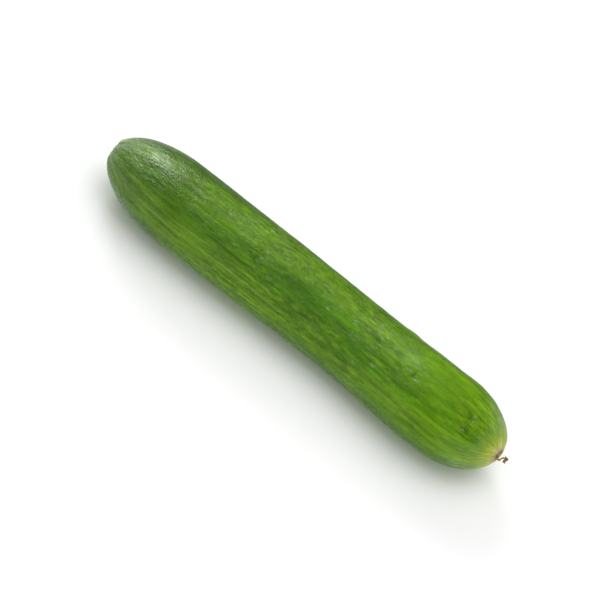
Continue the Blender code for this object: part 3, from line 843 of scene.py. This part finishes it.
# The floor: a plain pale sheet that the fruit lies on, lit softly from above. Matt white
# paper has no gloss of its own, so it shows nothing but the soft shadow.
FLOOR_SIZE = 6.0
white_paper, paper = new_material("white_paper")
surface = {"Base Color": colour("fafafa"), "Roughness": 0.9, "Specular IOR Level": 0.0}
surface = add_node(paper, "BsdfPrincipled", {}, surface)[0]
add_node(paper, "OutputMaterial", {}, {"Surface": surface})
bpy.ops.mesh.primitive_plane_add(size=FLOOR_SIZE, location=(0.0, 0.0, 0.0))
floor = bpy.context.object
floor.name = "floor"
floor.data.materials.append(white_paper)
floor.visible_glossy = False


# The light: three soft boxes, at the left, behind and overhead, in an evenly pale room. What
# the gloss shows of the room is pale only low down, most of all at the left and behind.
def softbox(name, place, width, height, power):
    """A rectangular lamp that faces the fruit."""
    lamp = bpy.data.lights.new(name, "AREA")
    lamp.shape = "RECTANGLE"
    lamp.size = width
    lamp.size_y = height
    lamp.energy = power
    holder = bpy.data.objects.new(name, lamp)
    holder.location = place
    holder.rotation_euler = (-Vector(place)).to_track_quat("-Z", "Y").to_euler()
    bpy.context.scene.collection.objects.link(holder)
    return holder


# Each box has its place, width and height in metres, and its power in watts
side_light = softbox("softbox_left", (-0.65, 0.28, 0.70), 0.64, 0.58, 16.0)
side_light.visible_diffuse = False
back_light = softbox("softbox_behind", (-0.62, 0.55, 0.56), 0.35, 0.35, 2.5)
back_light.visible_glossy = False
top_light = softbox("softbox_overhead", (0.0, 0.10, 1.10), 1.0, 1.0, 5.0)
top_light.visible_glossy = False

# The room lights all sides alike, but its reflections change with the direction: there is one
# pale part at both sides, one at the far left, one at the right behind, and one below
ROOM_STRENGTH = 0.70
world = bpy.data.worlds.new("pale_room")
world.use_nodes = True
room = world.node_tree
way_out = add_node(room, "TexCoord", {}, {})["Generated"]
rightwards, backwards, skywards = add_node(room, "SeparateXYZ", {}, {0: way_out})
low = add_node(room, "MapRange", STEP, {0: skywards, 1: 0.30, 2: -0.05})[0]
to_side = add_node(room, "Math", {"operation": "ABSOLUTE"}, {0: rightwards})[0]
pale_sides = add_node(room, "MapRange", STEP, {0: to_side, 1: 0.10, 2: 0.45, 4: 0.8})[0]
pale_sides = add_node(room, "Math", TIMES, {0: pale_sides, 1: low})[0]
far_left = add_node(room, "MapRange", STEP, {0: rightwards, 1: -0.40, 2: -0.85})[0]
pale_left = add_node(room, "MapRange", STEP, {0: backwards, 1: 0.0, 2: 0.6, 4: 2.8})[0]
pale_left = add_node(room, "Math", TIMES, {0: pale_left, 1: far_left})[0]
pale_left = add_node(room, "Math", TIMES, {0: pale_left, 1: low})[0]
far_back = add_node(room, "MapRange", STEP, {0: backwards, 1: 0.72, 2: 0.88})[0]
pale_right = add_node(room, "MapRange", STEP, {0: rightwards, 1: 0.12, 2: 0.30, 4: 0.8})[0]
pale_right = add_node(room, "Math", TIMES, {0: pale_right, 1: far_back})[0]
pale_right = add_node(room, "Math", TIMES, {0: pale_right, 1: low})[0]
pale_below = add_node(room, "MapRange", STEP, {0: skywards, 1: -0.15, 2: -0.6, 4: 0.35})[0]
gloss = pale_below
for pale_part in (pale_sides, pale_left, pale_right):
    gloss = add_node(room, "Math", PLUS, {0: gloss, 1: pale_part})[0]
is_gloss = add_node(room, "LightPath", {}, {})["Is Glossy Ray"]
strength = add_node(room, "MapRange", {}, {0: is_gloss, 3: ROOM_STRENGTH, 4: gloss})[0]
background = room.nodes["Background"]
background.inputs["Color"].default_value = (1.0, 1.0, 1.0, 1.0)
room.links.new(strength, background.inputs["Strength"])
bpy.context.scene.world = world
bpy.context.scene.view_settings.view_transform = "Standard"


# The camera looks down on the fruit, almost square to its length, and is rolled so that the
# stem end is at the upper left.
DISTANCE = 0.9
AIM_ALONG = 82.64
AIM_HEIGHT = 14.2
AIM_LEFT = 2.0
AIM_UP = 1.0
ELEVATION = math.radians(50.0)
TOWARDS_BLOSSOM = math.radians(6.0)
ROLL = math.radians(31.4)
sight_x = math.sin(TOWARDS_BLOSSOM)
sight_z = math.sin(ELEVATION)
sight = Vector((sight_x, -math.sqrt(1.0 - sight_x**2 - sight_z**2), sight_z))
lens = bpy.data.cameras.new("camera")
lens.sensor_width = 36.0
lens.lens = 164.6
lens.clip_end = 10.0
camera = bpy.data.objects.new("camera", lens)
turn = sight.to_track_quat("Z", "Y").to_matrix()
right = turn @ Vector((math.cos(ROLL), math.sin(ROLL), 0.0))
up = turn @ Vector((-math.sin(ROLL), math.cos(ROLL), 0.0))
aim = Vector((ORIGIN[0] + AIM_ALONG, ORIGIN[1], AIM_HEIGHT)) * MM
aim = aim - right * AIM_LEFT * MM + up * AIM_UP * MM
camera.location = aim + sight * DISTANCE
camera.rotation_euler = (turn @ Matrix.Rotation(ROLL, 3, "Z")).to_euler()
bpy.context.scene.collection.objects.link(camera)
bpy.context.scene.camera = camera
